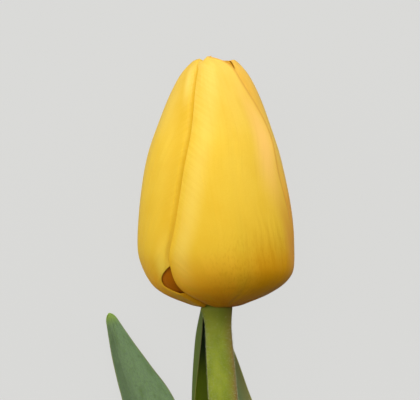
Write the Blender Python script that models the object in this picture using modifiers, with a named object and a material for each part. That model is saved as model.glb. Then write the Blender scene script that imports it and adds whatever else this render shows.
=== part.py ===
"""A cut tulip with a closed yellow head, its stem and its two leaves, lying on a flat surface.

The plant is modelled in its own frame, in millimetres: the origin is where the head meets the stem, +Y runs
up the plant to the head's tip, +X is the right-hand side and +Z is the side that faces up as the plant lies.
Angles round the plant are in degrees, 0 at the top side (+Z) and 90 at the right (+X). An empty carries the
plant to its place in the row frame, in metres, with the floor at z = 0.
"""

import math
from collections import namedtuple
from functools import partial

import bmesh
import bpy
import numpy as np

MM = 0.001

# The plant's place: how far the head's base lies from the middle of the plant's box, and above the floor.
HEAD_BASE_AT = (4.07, 60.23, 20.0)

# The closed head, as (radius, height) down to up along its outer side.
HEAD_PROFILE = (
    (4.15, -0.4), (6.4, 0.05), (9.0, 0.9), (11.8, 1.95), (14.8, 3.4), (17.3, 5.4), (19.2, 8.1),
    (20.1, 11.3), (20.4, 15.0), (20.15, 21.0), (19.0, 30.0), (17.1, 39.3), (14.6, 47.2), (11.9, 54.3),
    (9.3, 59.4), (7.3, 62.0), (5.4, 63.8), (3.4, 64.9),
)

PETAL_THICKNESS = 0.75
PETAL_FACETS = (12, 22)  # across and along
CROWDING = 0.4  # how much closer together a petal's facets are at its edges, base and tip than in its middle
EDGE_CURL = 0.45  # how far a petal's edges turn in below the round of the head
BULGE_EDGE = 8.0  # degrees over which an inner petal rises out between two outer ones
BULGE_GAP = 0.15  # how far that bulge stays under the round of the head
BULGE_CLEAR = 1.2  # how far from the outer petals' edges it starts to rise
STATIONS = (0.0, 4.0, 11.0, 20.0, 34.0, 46.0, 58.0, 64.0)  # heights at which the petals' edges are given
RECESS_HEIGHT = 6.2
RECESS_SPREAD = 3.5

# left and right are a petal's edges in degrees at STATIONS, and tip is the angle of its tip. reach is how
# much of the head's profile it covers. recess is how many degrees each edge draws back low down, where two
# outer petals leave a window between them. sink is how deep the petal lies under the head's outer side.
Petal = namedtuple("Petal", "left right tip reach recess sink")
PETALS = {
    "petal_outer_front": Petal(
        left=(-30, -39, -39, -32, -26, -23, -27, -36),
        right=(84, 94, 90, 81, 71, 69, 48, 40),
        tip=-12,
        reach=1.0,
        recess=(0, 0),
        sink=0.0,
    ),
    "petal_outer_left": Petal(
        left=(-140, -146, -150, -150, -148, -145, -140, -138),
        right=(-35, -34, -34, -26, -19, -16, -19, -28),
        tip=-58,
        reach=0.988,
        recess=(10, 17.5),
        sink=0.0,
    ),
    "petal_outer_back": Petal(
        left=(106, 109, 110, 110, 108, 108, 112, 114),
        right=(196, 201, 204, 203, 200, 198, 196, 194),
        tip=150,
        reach=0.98,
        recess=(0, 12),
        sink=0.0,
    ),
    "petal_inner_right": Petal(
        left=(44, 38, 34, 33, 33, 35, 38, 40),
        right=(126, 134, 138, 136, 132, 128, 124, 120),
        tip=84,
        reach=0.988,
        recess=(0, 0),
        sink=1.85,
    ),
    "petal_inner_back": Petal(
        left=(166, 160, 156, 157, 160, 164, 168, 170),
        right=(246, 252, 254, 253, 250, 248, 244, 242),
        tip=206,
        reach=0.972,
        recess=(0, 0),
        sink=1.75,
    ),
    "petal_inner_front": Petal(
        left=(-74, -80, -82, -81, -78, -76, -72, -70),
        right=(8, 16, 20, 19, 16, 12, 6, 4),
        tip=-32,
        reach=0.972,
        recess=(0, 0),
        sink=2.85,
    ),
}
BASE_SINK = 1.55  # how deep the inner petals lie right at their base
SINK_HEIGHT = 8.0  # height over which they reach their own depth
BULGE_START = 2.0
TUCK_DEPTH = 1.55  # how deep the left petal's right edge passes under the front petal's left edge
TUCK_ANGLE = 14.0  # degrees before that edge at which the left petal starts to dip
TUCK_FLAT = 3.0  # degrees before that edge at which it has reached that depth
TUCK_START = 1.0  # height at which the tuck begins
TUCK_RISE = 7.0  # height over which it deepens
TIP_START = 0.93  # share of a petal's length where its rounded tip begins
TIP_WIDTH = 0.35

# The stem's middle line, from the dome that the flower grows on down to the cut end, with its radius.
STEM_PATH = (
    ((0.3, 2.3, 0.0), 1.6), ((0.3, 1.9, 0.0), 2.6), ((0.3, 1.2, 0.0), 3.3), ((0.3, 0.4, 0.0), 3.65),
    ((0.4, -0.4, 0.0), 3.8), ((0.7, -2.2, -0.1), 3.75), ((0.95, -6.5, -0.3), 3.45), ((1.3, -12.0, -0.8), 3.5),
    ((2.2, -24.0, -2.2), 3.75), ((3.7, -42.0, -5.0), 3.85), ((5.2, -62.0, -8.2), 3.85),
    ((6.2, -84.0, -11.0), 3.85), ((6.4, -108.0, -13.3), 3.9), ((5.6, -134.0, -15.0), 3.95),
    ((3.8, -160.0, -15.9), 4.0), ((1.6, -185.0, -16.0), 4.0),
)
DOME_RINGS = 5
STEM_RINGS = 32
STEM_BEVEL = 5

LEAF_THICKNESS = 0.8
LEAF_FACETS = (10, 26)
SHEATH_GAP = 0.5
LEAF_WAVES = 2.5  # how many times a leaf's edges rise and fall along its length

# Inside the head, one pistil stands on the dome and six stamens stand round it. Both have a profile of
# (radius, height above the foot).
PISTIL_PROFILE = (
    (0.0, 0.0), (1.3, 0.3), (2.0, 2.5), (2.6, 8.0), (2.4, 13.0), (1.9, 16.5), (2.9, 18.2), (3.2, 19.6),
    (2.0, 20.6), (0.0, 20.9),
)
STAMEN_PROFILE = (
    (0.0, 0.0), (0.5, 0.2), (0.65, 3.0), (0.4, 8.2), (0.6, 9.0), (1.35, 10.5), (1.35, 18.5), (0.7, 21.3),
    (0.0, 22.0),
)
PISTIL_GAP = 0.3
PISTIL_LOBES = 0.14
PISTIL_FACETS = (18, 14)
STAMEN_COUNT = 6
FIRST_STAMEN = 20.0
STAMEN_RING = 2.5
STAMEN_FOOT = 2.4
STAMEN_LEAN = 9.0
STAMEN_FLATNESS = 0.7
STAMEN_FACETS = (8, 12)


def curve_through(xs, ys):
    """A smooth function through the points, sloping at each as the chord between its neighbours does."""
    xs = np.asarray(xs, float)
    ys = np.asarray(ys, float)
    slopes = np.empty_like(ys)
    slopes[1:-1] = (ys[2:] - ys[:-2]) / (xs[2:] - xs[:-2])
    slopes[0] = (ys[1] - ys[0]) / (xs[1] - xs[0])
    slopes[-1] = (ys[-1] - ys[-2]) / (xs[-1] - xs[-2])

    def at(x):
        x = min(max(x, xs[0]), xs[-1])
        i = min(int(np.searchsorted(xs, x, side="right")) - 1, len(xs) - 2)
        step = xs[i + 1] - xs[i]
        t = (x - xs[i]) / step
        return float(
            ys[i] * (2 * t**3 - 3 * t**2 + 1)
            + slopes[i] * step * (t**3 - 2 * t**2 + t)
            + ys[i + 1] * (3 * t**2 - 2 * t**3)
            + slopes[i + 1] * step * (t**3 - t**2)
        )

    return at


def path_through(points):
    """A smooth path through the points, as a function of the share 0 to 1 of its length."""
    points = np.asarray(points, float)
    along = np.concatenate([[0.0], np.cumsum(np.linalg.norm(np.diff(points, axis=0), axis=1))])
    parts = [curve_through(along / along[-1], points[:, k]) for k in range(points.shape[1])]
    return lambda share: np.array([part(share) for part in parts])


def smoothstep(x):
    x = min(max(x, 0.0), 1.0)
    return x * x * (3 - 2 * x)


head_profile = path_through(HEAD_PROFILE)


def head_middle(height):
    """How far the head's middle line lies right of the plant's axis: the belly leans a little that way."""
    base = 0.3 * math.exp(-((height / 1.5) ** 2))
    belly = 0.8 * math.exp(-(((height - 8.0) / 4.5) ** 2))
    return base + belly - 0.4 * math.exp(-(((height - 36.0) / 13.0) ** 2))


def head_swell(angle, height):
    """How much further out the head's round reaches on its right side."""
    return 0.9 * max(math.sin(math.radians(angle)), 0.0) ** 4 * math.exp(-(((height - 24.0) / 18.0) ** 2))


def edge_angle(petal, side, height):
    """The angle of a petal's left (side 0) or right (side 1) edge at a height."""
    angle = curve_through(STATIONS, (petal.left, petal.right)[side])(height)
    drawn_back = petal.recess[side] * math.exp(-(((height - RECESS_HEIGHT) / RECESS_SPREAD) ** 2))
    return angle + drawn_back if side == 0 else angle - drawn_back


def outer_depth(name, across, angle, height):
    """How deep an outer petal's outer side lies under the round of the head."""
    depth = EDGE_CURL * across**6
    if name == "petal_outer_left":
        cover = edge_angle(PETALS["petal_outer_front"], 0, height)
        tuck = TUCK_DEPTH * smoothstep((height - TUCK_START) / TUCK_RISE)
        depth = max(depth, tuck * smoothstep((angle - cover + TUCK_ANGLE) / (TUCK_ANGLE - TUCK_FLAT)))
    return depth


# Each inner petal lies behind the right edge of one outer petal and the left edge of the next, whose angle
# may be past a full turn. Where these edges leave it free, it bulges out between them.
COVERS = {
    "petal_inner_right": ("petal_outer_front", "petal_outer_back", 0.0),
    "petal_inner_back": ("petal_outer_back", "petal_outer_left", 360.0),
    "petal_inner_front": ("petal_outer_left", "petal_outer_front", 0.0),
}


def inner_depth(name, angle, height, radius):
    """How deep an inner petal's outer side lies under the round of the head."""
    before, after, turn = COVERS[name]
    clear = math.degrees(BULGE_CLEAR / radius)
    low = edge_angle(PETALS[before], 1, height) + clear
    high = edge_angle(PETALS[after], 0, height) + turn - clear
    bulge = smoothstep((angle - low) / BULGE_EDGE) * smoothstep((high - angle) / BULGE_EDGE)
    bulge *= smoothstep((height - BULGE_START) / SINK_HEIGHT)
    sink = PETALS[name].sink
    settled = BASE_SINK + (sink - BASE_SINK) * smoothstep(height / SINK_HEIGHT)
    return settled - (settled - BULGE_GAP) * bulge


def petal_point(name, across, along):
    """A point of a petal's outer side: across runs from -1, left, to 1, and along from 0, its base, to 1."""
    petal = PETALS[name]
    across += CROWDING * math.sin(math.pi * across) / math.pi
    share = (along - CROWDING * math.sin(2 * math.pi * along) / (2 * math.pi)) * petal.reach
    radius, height = head_profile(share)
    ahead = head_profile(min(share + 0.01, 1.0)) - head_profile(max(share - 0.01, 0.0))
    inward = np.array([-ahead[1], ahead[0]]) / np.linalg.norm(ahead)
    left = edge_angle(petal, 0, height)
    right = edge_angle(petal, 1, height)
    angle = left + (right - left) * (across + 1) / 2
    if along > TIP_START:
        beyond = (along - TIP_START) / (1 - TIP_START)
        narrowing = max(math.sqrt(1 - beyond**2), TIP_WIDTH)
        angle = petal.tip + (angle - petal.tip) * narrowing
    if name in COVERS:
        depth = inner_depth(name, angle, height, radius)
    else:
        depth = outer_depth(name, across, angle, height)
    radius, height = np.array([radius + head_swell(angle, height), height]) + inward * depth
    turned = math.radians(angle)
    return (
        head_middle(height) + radius * math.sin(turned),
        height,
        max(radius * math.cos(turned), -HEAD_BASE_AT[2]),
    )


stem_middle = path_through([point for point, _ in STEM_PATH])
stem_radius = path_through([(*point, radius) for point, radius in STEM_PATH])


def stem_at(height):
    """The stem's middle point at a height (negative below the head)."""
    low, high = 0.0, 1.0
    for _ in range(30):
        middle = (low + high) / 2
        if stem_middle(middle)[1] > height:
            low = middle
        else:
            high = middle
    return stem_middle(low)


# A leaf starts as a sheath round the stem. Its middle line is given by points, and its cross-section at even
# shares of its length: half its width, the degrees that its left and right half bend up through, and the
# angle round the plant that its upper side faces. wave is how far its edges rise and fall.
Leaf = namedtuple("Leaf", "base_height base_angle points widths left_bends right_bends facings wave")
LEAVES = {
    "leaf_left": Leaf(
        base_height=-128.0,
        base_angle=-100.0,
        points=(
            (-2.2, -109.0, -15.9), (-6.2, -95.0, -17.1), (-10.4, -80.0, -18.1), (-13.4, -65.0, -18.8),
            (-14.8, -50.0, -19.04), (-15.9, -38.0, -19.04), (-19.0, -23.5, -18.7), (-23.6, -13.0, -18.0),
            (-28.0, -1.6, -17.0),
        ),
        widths=(7.4, 8.4, 10.2, 11.2, 10.8, 8.8, 5.0, 0.7),
        left_bends=(98, 80, 60, 50, 48, 46, 40, 30),
        right_bends=(98, 80, 62, 54, 46, 34, 26, 20),
        facings=(80, 62, 36, 20, 10, 0, -6, -8),
        wave=0.5,
    ),
    "leaf_back": Leaf(
        base_height=-90.0,
        base_angle=172.0,
        points=(
            (6.0, -70.0, -17.6), (4.6, -58.0, -19.0), (3.0, -46.0, -19.1), (1.2, -35.0, -18.2),
            (-0.6, -23.5, -16.2), (-1.7, -12.6, -13.8), (-2.1, -5.0, -12.4), (-2.2, 1.0, -11.8),
        ),
        widths=(7.2, 8.6, 10.8, 11.8, 12.0, 10.2, 6.3, 0.7),
        left_bends=(98, 90, 88, 86, 84, 88, 100, 70),
        right_bends=(98, 70, 46, 36, 34, 30, 30, 30),
        facings=(-8, -8, -6, -4, 4, 14, 20, 16),
        wave=0.2,
    ),
}


def leaf_section(leaf):
    """Functions of the share of a leaf's length: middle line, half-width, left and right bend, facing."""
    facing = math.radians(leaf.base_angle)
    outward = np.array([math.sin(facing), 0.0, math.cos(facing)])
    reach = STEM_PATH[-1][1] + SHEATH_GAP
    starts = [stem_at(leaf.base_height + rise) + outward * reach for rise in (0.0, 5.0, 10.0)]
    shares = np.linspace(0.0, 1.0, len(leaf.widths))
    across = (leaf.widths, leaf.left_bends, leaf.right_bends, leaf.facings)
    return path_through([*starts, *leaf.points]), *(curve_through(shares, values) for values in across)


def leaf_point(section, wave, across, along):
    """A point of a leaf's upper side: across runs from -1, left, to 1, and along from 0, its base, to 1."""
    middle, width, left_bend, right_bend, facing = section
    forward = middle(min(along + 0.01, 1.0)) - middle(max(along - 0.01, 0.0))
    forward /= np.linalg.norm(forward)
    turned = math.radians(facing(along))
    up = np.array([math.sin(turned), 0.0, math.cos(turned)])
    up -= forward * (up @ forward)
    up /= np.linalg.norm(up)
    side = np.cross(forward, up)
    bend = math.radians(left_bend(along) if across < 0 else right_bend(along))
    reach = width(along) * math.sin(bend * across) / bend
    rise = width(along) * (1 - math.cos(bend * across)) / bend
    rise += wave * math.sin(2 * math.pi * LEAF_WAVES * along) * across**2 * smoothstep(3 * along)
    return middle(along) + side * reach + up * rise


def material(name, colour, roughness):
    made = bpy.data.materials.new(name)
    made.use_nodes = True
    shader = made.node_tree.nodes["Principled BSDF"]
    shader.inputs["Base Color"].default_value = (*colour, 1.0)
    shader.inputs["Roughness"].default_value = roughness
    shader.inputs["Metallic"].default_value = 0.0
    return made


# What every object needs: the collection that it goes into and the empty that carries it.
Place = namedtuple("Place", "collection carrier")


def add_object(name, data, finish, place):
    """Links an object whose data is in the plant's millimetres, and hangs it on the plant's empty."""
    made = bpy.data.objects.new(name, data)
    place.collection.objects.link(made)
    made.data.materials.append(finish)
    made.parent = place.carrier
    return made


def mesh_of(name, shape):
    mesh = bpy.data.meshes.new(name)
    shape.to_mesh(mesh)
    shape.free()
    mesh.shade_smooth()
    return mesh


def blade(name, point_at, facets, thickness, finish, place):
    """A thin shell: a grid whose vertices are moved to point_at(across, along), thickened on its back."""
    columns, rows = facets
    shape = bmesh.new()
    bmesh.ops.create_grid(shape, x_segments=columns, y_segments=rows, size=1.0)
    for vertex in shape.verts:
        vertex.co = point_at(vertex.co.x, (vertex.co.y + 1) / 2)
    bmesh.ops.triangulate(shape, faces=shape.faces)
    made = add_object(name, mesh_of(name, shape), finish, place)
    shell = made.modifiers.new("thickness", "SOLIDIFY")
    shell.thickness = thickness
    shell.offset = -1.0


def rounded_body(name, point_at, facets, finish, place):
    """A closed body: a sphere whose vertices are moved to point_at(angle, share of its height)."""
    sides, rings = facets
    shape = bmesh.new()
    bmesh.ops.create_uvsphere(shape, u_segments=sides, v_segments=rings, radius=1.0)
    for vertex in shape.verts:
        share = math.acos(min(max(-vertex.co.z, -1.0), 1.0)) / math.pi
        vertex.co = point_at(math.atan2(vertex.co.y, vertex.co.x), share)
    add_object(name, mesh_of(name, shape), finish, place)


def build_petals(place):
    finish = material("petal_yellow", (0.86, 0.55, 0.03), 0.45)
    for name in PETALS:
        blade(name, partial(petal_point, name), PETAL_FACETS, PETAL_THICKNESS, finish, place)


def build_leaves(place):
    finish = material("leaf_green", (0.10, 0.20, 0.07), 0.55)
    for name, leaf in LEAVES.items():
        point_at = partial(leaf_point, leaf_section(leaf), leaf.wave)
        blade(name, point_at, LEAF_FACETS, LEAF_THICKNESS, finish, place)


def build_stem(place):
    """The stem, with the dome at its top that the flower grows on, as a tube of changing radius."""
    curve = bpy.data.curves.new("stem", "CURVE")
    curve.dimensions = "3D"
    curve.bevel_depth = 1.0
    curve.bevel_resolution = STEM_BEVEL
    curve.use_fill_caps = True
    dome = [(*point, radius) for point, radius in STEM_PATH[:DOME_RINGS]]
    below = path_through([(*point, radius) for point, radius in STEM_PATH[DOME_RINGS - 1 :]])
    rings = [*dome, *(below(share) for share in np.linspace(0.0, 1.0, STEM_RINGS)[1:])]
    spline = curve.splines.new("POLY")
    spline.points.add(len(rings) - 1)
    for point, (x, y, z, radius) in zip(spline.points, rings, strict=True):
        point.co = (x, y, z, 1.0)
        point.radius = radius
    add_object("stem", curve, material("stem_green", (0.22, 0.32, 0.05), 0.5), place)


def pistil_point(body, angle, share):
    """A point of the pistil: a three-sided ovary under a three-lobed stigma."""
    radius, rise = body(share)
    radius = max(radius, 0.0) * (1 + PISTIL_LOBES * math.cos(3 * angle) * smoothstep(rise / 6.0))
    (middle, dome_top, _), _ = STEM_PATH[0]
    return middle + radius * math.sin(angle), dome_top + PISTIL_GAP + rise, radius * math.cos(angle)


def stamen_point(body, around, angle, share):
    """A point of a stamen: a slender filament that carries a long, flattened anther and leans outward."""
    radius, rise = body(share)
    lean = math.radians(STAMEN_LEAN)
    outward = np.array([math.sin(around), 0.0, math.cos(around)])
    sideways = np.array([math.cos(around), 0.0, -math.sin(around)])
    upward = np.array([0.0, math.cos(lean), 0.0]) + outward * math.sin(lean)
    across = outward * math.cos(lean) - np.array([0.0, math.sin(lean), 0.0])
    foot = np.array([STEM_PATH[0][0][0], STAMEN_FOOT, 0.0]) + outward * STAMEN_RING
    round_it = sideways * math.sin(angle) + across * STAMEN_FLATNESS * math.cos(angle)
    return foot + upward * rise + round_it * max(radius, 0.0)


def build_pistil(place):
    finish = material("pistil_green", (0.45, 0.55, 0.15), 0.5)
    rounded_body("pistil", partial(pistil_point, path_through(PISTIL_PROFILE)), PISTIL_FACETS, finish, place)


def build_stamens(place):
    finish = material("stamen_yellow", (0.70, 0.50, 0.08), 0.6)
    body = path_through(STAMEN_PROFILE)
    for number in range(STAMEN_COUNT):
        around = math.radians(FIRST_STAMEN + number * 360.0 / STAMEN_COUNT)
        point_at = partial(stamen_point, body, around)
        rounded_body(f"stamen_{number + 1}", point_at, STAMEN_FACETS, finish, place)


def main():
    for old in list(bpy.data.objects):
        bpy.data.objects.remove(old)
    collection = bpy.data.collections.new("tulip")
    bpy.context.scene.collection.children.link(collection)
    carrier = bpy.data.objects.new("plant", None)
    collection.objects.link(carrier)
    carrier.location = [MM * value for value in HEAD_BASE_AT]
    carrier.scale = (MM, MM, MM)

    place = Place(collection, carrier)
    build_petals(place)
    build_stem(place)
    build_leaves(place)
    build_pistil(place)
    build_stamens(place)


main()
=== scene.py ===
"""The looks of a cut tulip that lies on a pale surface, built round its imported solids.

Shapes are worked out in the plant's own frame, in millimetres: the origin is where the head meets the stem,
+Y runs up the plant to the head's tip, +X is the right-hand side and +Z is the side that faces up. Angles
round the plant are in degrees, 0 at the top side (+Z) and 90 at the right (+X). row_frame() turns points into
the frame's metres. A petal or leaf is a blade, a grid of points: rows run along it from its base, and columns
across it from the left.
"""

import math
from collections import namedtuple

import bpy
import numpy as np
from bpy.props import FloatProperty, FloatVectorProperty, IntProperty, PointerProperty
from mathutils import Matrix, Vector


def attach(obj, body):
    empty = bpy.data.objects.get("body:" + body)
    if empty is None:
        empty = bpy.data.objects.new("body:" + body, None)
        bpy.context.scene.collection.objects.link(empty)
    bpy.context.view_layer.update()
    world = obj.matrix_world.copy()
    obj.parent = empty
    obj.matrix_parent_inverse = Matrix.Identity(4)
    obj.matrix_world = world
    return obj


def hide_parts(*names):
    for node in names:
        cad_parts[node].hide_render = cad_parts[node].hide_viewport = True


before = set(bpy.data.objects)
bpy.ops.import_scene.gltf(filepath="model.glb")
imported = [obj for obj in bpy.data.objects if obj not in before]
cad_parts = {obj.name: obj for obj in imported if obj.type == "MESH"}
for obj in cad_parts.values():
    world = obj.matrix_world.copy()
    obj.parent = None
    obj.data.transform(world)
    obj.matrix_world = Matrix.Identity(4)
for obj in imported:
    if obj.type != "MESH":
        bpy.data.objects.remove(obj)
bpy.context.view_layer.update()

bl_info = {
    "name": "Cut tulip",
    "version": (1, 0, 0),
    "blender": (4, 5, 0),
    "location": "3D View > Sidebar > Tulip",
    "description": "Builds the petals, stem, leaves and inner parts of a cut tulip, and a plain stage for it",
    "category": "Object",
}

MM = 0.001

# How far the head's base lies from the middle of the tulip's box, and above the floor.
HEAD_BASE_AT = (4.07, 60.23, 20.0)

# The closed head, as (radius, height) down to up along its outer side.
HEAD_PROFILE = (
    (4.15, -0.4), (6.3, 0.05), (8.6, 0.9), (11.3, 1.95), (14.2, 3.4), (16.9, 5.4), (18.85, 8.1),
    (19.85, 11.3), (20.15, 15.0), (19.9, 21.0), (18.85, 30.0), (17.1, 39.3), (14.6, 47.2), (11.9, 54.3),
    (9.3, 59.4), (7.3, 62.0), (5.4, 63.8), (3.4, 64.9),
)
# How far the head's middle line leans right of the plant's axis, at what height most, and over what height
# that fades.
HEAD_LEANS = ((0.3, 0.0, 1.5), (0.8, 8.0, 4.5), (-0.4, 36.0, 13.0))
RIGHT_SWELL = 0.7  # how much further out the head's round reaches on its right side
SWELL_UP = (24.0, 18.0)  # at what height most, and over what height that fades
SWELL_SHARPNESS = 4

# Ripples from a random field: their height, how many there are across and along a piece, and where on the
# field they start.
Ripples = namedtuple("Ripples", "height across along start", defaults=[(20, 20)])
FIELD_CELLS = 64
RIM_REACH = 0.4  # how far a blade's round rim stands out, as a share of its thickness

STATIONS = (0.0, 4.0, 11.0, 20.0, 34.0, 46.0, 58.0, 64.0)  # heights at which the petals' edges are given

# left and right are a petal's edges in degrees at STATIONS, and tip is its tip's angle. reach is the share of
# the head's profile that it covers. curls is how far each margin rolls in, and recess how many degrees each
# edge draws back near the base. grid is its number of columns and rows, and seed chooses its ripples. sink is
# how deep it lies in the head, and cover names the petals over its left and right.
Petal = namedtuple(
    "Petal", "left right tip reach curls grid seed sink recess cover", defaults=[0.0, (0, 0), (None, None)]
)
PETALS = {
    "petal_outer_front": Petal(
        left=(-30, -39, -39, -32, -26, -23, -29, -38),
        right=(84, 92, 83, 75, 62, 59, 41, 34),
        tip=-62, reach=0.994, curls=(0.6, 0.0), grid=(120, 180), seed=17,
    ),
    "petal_outer_left": Petal(
        left=(-140, -146, -150, -150, -148, -145, -140, -138),
        right=(-35, -34, -34, -26, -19, -16, -19, -28),
        tip=-36, reach=0.979, curls=(0.4, 0.08), grid=(120, 180), seed=16,
        recess=(10, 21.5), cover=(None, "petal_outer_front"),
    ),
    "petal_outer_back": Petal(
        left=(106, 109, 110, 110, 108, 108, 112, 114),
        right=(196, 201, 204, 203, 200, 198, 196, 194),
        tip=150, reach=0.965, curls=(0.4, 0.4), grid=(100, 160), seed=16,
        recess=(0, 12),
    ),
    "petal_inner_right": Petal(
        left=(44, 38, 34, 33, 33, 35, 33, 54),
        right=(126, 134, 138, 136, 132, 128, 132, 149),
        tip=64, reach=0.976, curls=(0.5, 0.3), grid=(100, 160), seed=17,
        sink=0.15, cover=("petal_outer_front", "petal_outer_back"),
    ),
    "petal_inner_back": Petal(
        left=(166, 160, 156, 157, 160, 164, 162, 151),
        right=(246, 252, 254, 253, 250, 248, 256, 276),
        tip=206, reach=0.962, curls=(0.3, 0.3), grid=(90, 140), seed=16,
        sink=0.15, cover=("petal_outer_back", "petal_outer_left"),
    ),
    "petal_inner_front": Petal(
        left=(-74, -80, -82, -81, -78, -76, -76, -80),
        right=(8, 16, 20, 19, 16, 14, 62, 100),
        tip=42, reach=0.985, curls=(0.3, 0.3), grid=(90, 140), seed=17,
        sink=1.6,
    ),
}
RECESS_RISE = (1.5, 5.3)  # heights between which an edge draws back
RECESS_FALL = (5.7, 12.7)  # and between which it comes forward again
PETAL_LENGTH = 79.0
PETAL_CROWDING = (0.4, 0.3)  # how much closer together columns lie at the sides, and rows at the ends

# Where the inner front petal shows between the others it comes out to just under them: how far, and the rise
# and fall of it round the plant and up it.
Bulge = namedtuple("Bulge", "size turn_rise turn_fall rise fall")
BULGES = (
    Bulge(size=1.2, turn_rise=(-71, -61), turn_fall=(-50, -37), rise=(1.0, 3.5), fall=(9.0, 13.0)),
    Bulge(size=0.85, turn_rise=(5, 20), turn_fall=(90, 110), rise=(45.0, 55.0), fall=(70.0, 71.0)),
)
BASE_SINK = 1.55  # how deep the inner petals lie right at their base
SINK_HEIGHT = 8.0  # height over which they come to their own depth
FAR = 10.0  # a distance at which a margin has no influence
COVERED_DEPTH = 1.9  # how deep a petal lies well inside the petal that covers it
COVERED_WIDTH = 12.0  # and how far inside its margin that is
COVER_GAP = 0.25  # between a petal's inner side and the one that it covers
COVER_RELAX = (1.4, 0.4)  # how far beyond that margin a petal has come out: at the base, and more higher up
RELAX_HEIGHT = 50.0
CURL_WIDTHS = (0.9, 2.5)  # width over which a margin rolls in: a fixed part, and one for each mm that it does
CURL_LOSS = 0.6  # share of its curl that a margin has lost at the top
CURL_HEIGHT = 55.0
FLARE = 1.1  # how far the front petal's right margin stands off
FLARE_ACROSS = (1.0, 0.26)  # where across the petal most, and over what width that fades
FLARE_UP = (44.0, 15.0)  # at what height most, and over what height that fades
BASE_THICKNESS = 0.75
BASE_SHARE = 0.25  # share of a petal's length over which it comes to its own thickness
MARGIN_THICKNESS = 0.2
MARGIN_WIDTH = 5.0  # width over which a petal thins out to its margin
TIP_START = 0.93  # share of a petal's length where its rounded tip begins
OUTER_TIP_WIDTH = 0.5  # what is left of an outer petal's width at its tip
INNER_TIP_WIDTH = 0.95
FOLD_START = 0.93  # share of an inner petal's length where it folds in over the middle of the head
FOLD_RADIUS = 0.12  # what is left of its radius at its end
FOLD_DROP = 2.2  # how far it dips there
FOLD_WIDTH = 1.2  # how wide it spreads there, times its own width
FOLD_SPREADS = 1 / 3  # share of the fold over which it spreads
SHOULDER_START = 0.9  # share of the front petal's length from which its tip is lower on the left
SHOULDER_END = -0.1  # the place across the petal where the lower part ends
SHOULDER_STEP = 0.05  # the width of the step there
SHOULDER_DROP = 0.026  # the step's height, as a share of the head's profile
VEIN_BEND = 0.32  # how much a petal's veins crowd towards its margins
VEIN_FAN = (0.2, 1.2)  # the room that they have at the base, and how much more at the tip
PETAL_WAVES = Ripples(height=0.10, across=4, along=3, start=(20, 0))
PETAL_RIBS = Ripples(height=0.03, across=22, along=7, start=(40, 0))
RIB_SEED = 50  # added to the petal's own
RIB_END = (0.6, 0.9)  # shares of a petal's length between which its ribs fade out
MIDRIB = (0.16, 0.05)  # how deep a petal's midrib is, and how wide
FEATHERS = (88.0, 8.0)  # fine lines along a petal, and how much they slant from its margins
RELIEF_MARGIN = 3.0  # distance from the margin at which a petal has its full relief
RELIEF_START = 0.1  # share of its length at which it has

# The stem's middle line, from the dome that the flower grows on down to the cut end, with its radius.
STEM_PATH = (
    ((0.3, 2.3, 0.0), 1.6), ((0.3, 1.9, 0.0), 2.6), ((0.3, 1.2, 0.0), 3.3), ((0.3, 0.4, 0.0), 3.65),
    ((0.4, -0.4, 0.0), 4.1), ((0.6, -2.0, -0.1), 3.85), ((0.8, -4.2, -0.2), 3.5), ((0.95, -6.8, -0.3), 3.4),
    ((1.3, -12.0, -0.8), 3.5),
    ((2.2, -24.0, -2.2), 3.75), ((3.7, -42.0, -5.0), 3.85), ((5.2, -62.0, -8.2), 3.85),
    ((6.2, -84.0, -11.0), 3.85), ((6.4, -108.0, -13.3), 3.9), ((5.6, -134.0, -15.0), 3.95),
    ((3.8, -160.0, -15.9), 4.0), ((1.6, -185.0, -16.0), 4.0),
)
STEM_GRID = (72, 360)  # sides, and rings along it
STEM_SAMPLES = 2001  # places along it at which its height is looked up
STEM_LUMPS = Ripples(height=0.022, across=2.2, along=14)
STEM_RIBS = Ripples(height=0.010, across=9, along=3)
STEM_SEED = 7
DOME_SHARE = 0.02  # share of the stem's length that its dome takes
DOME_RINGS = 20
CUT_MIDDLE = 0.04  # the first ring on the cut face, as a share of the stem's radius
CUT_RIM = 0.07  # the rounded rim of the cut end, in the same way
CUT_RINGS = (18, 6)  # over the cut face and round its rim
UNCUT_RINGS = 3  # rings round its rim that have the stem's own finish
SIDE_START = 0.9985  # share of the stem's length at which its side begins, past the rim
CUT_HOLLOW = 0.35  # how far the middle of the cut end has drawn in
CUT_FIBRES = Ripples(height=0.05, across=12, along=0)
HAIR_TOP = -1.5  # height under the head below which the stem has hairs
HAIR_FADE = 9.0  # and over which they thin out towards it
HAIR_SIDES = 3
HAIR_THICKNESS = 0.055
HAIR_ROOT = 0.03  # how deep a hair stands in the stem
HAIR_SHORTEST = 0.45  # the shortest hair, as a share of the longest
HAIR_SPREAD = 0.28  # how far hairs lean from upright
HAIR_CLEARANCE = 0.3  # between a hair's end and the floor
HAIR_SEED = 11

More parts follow.
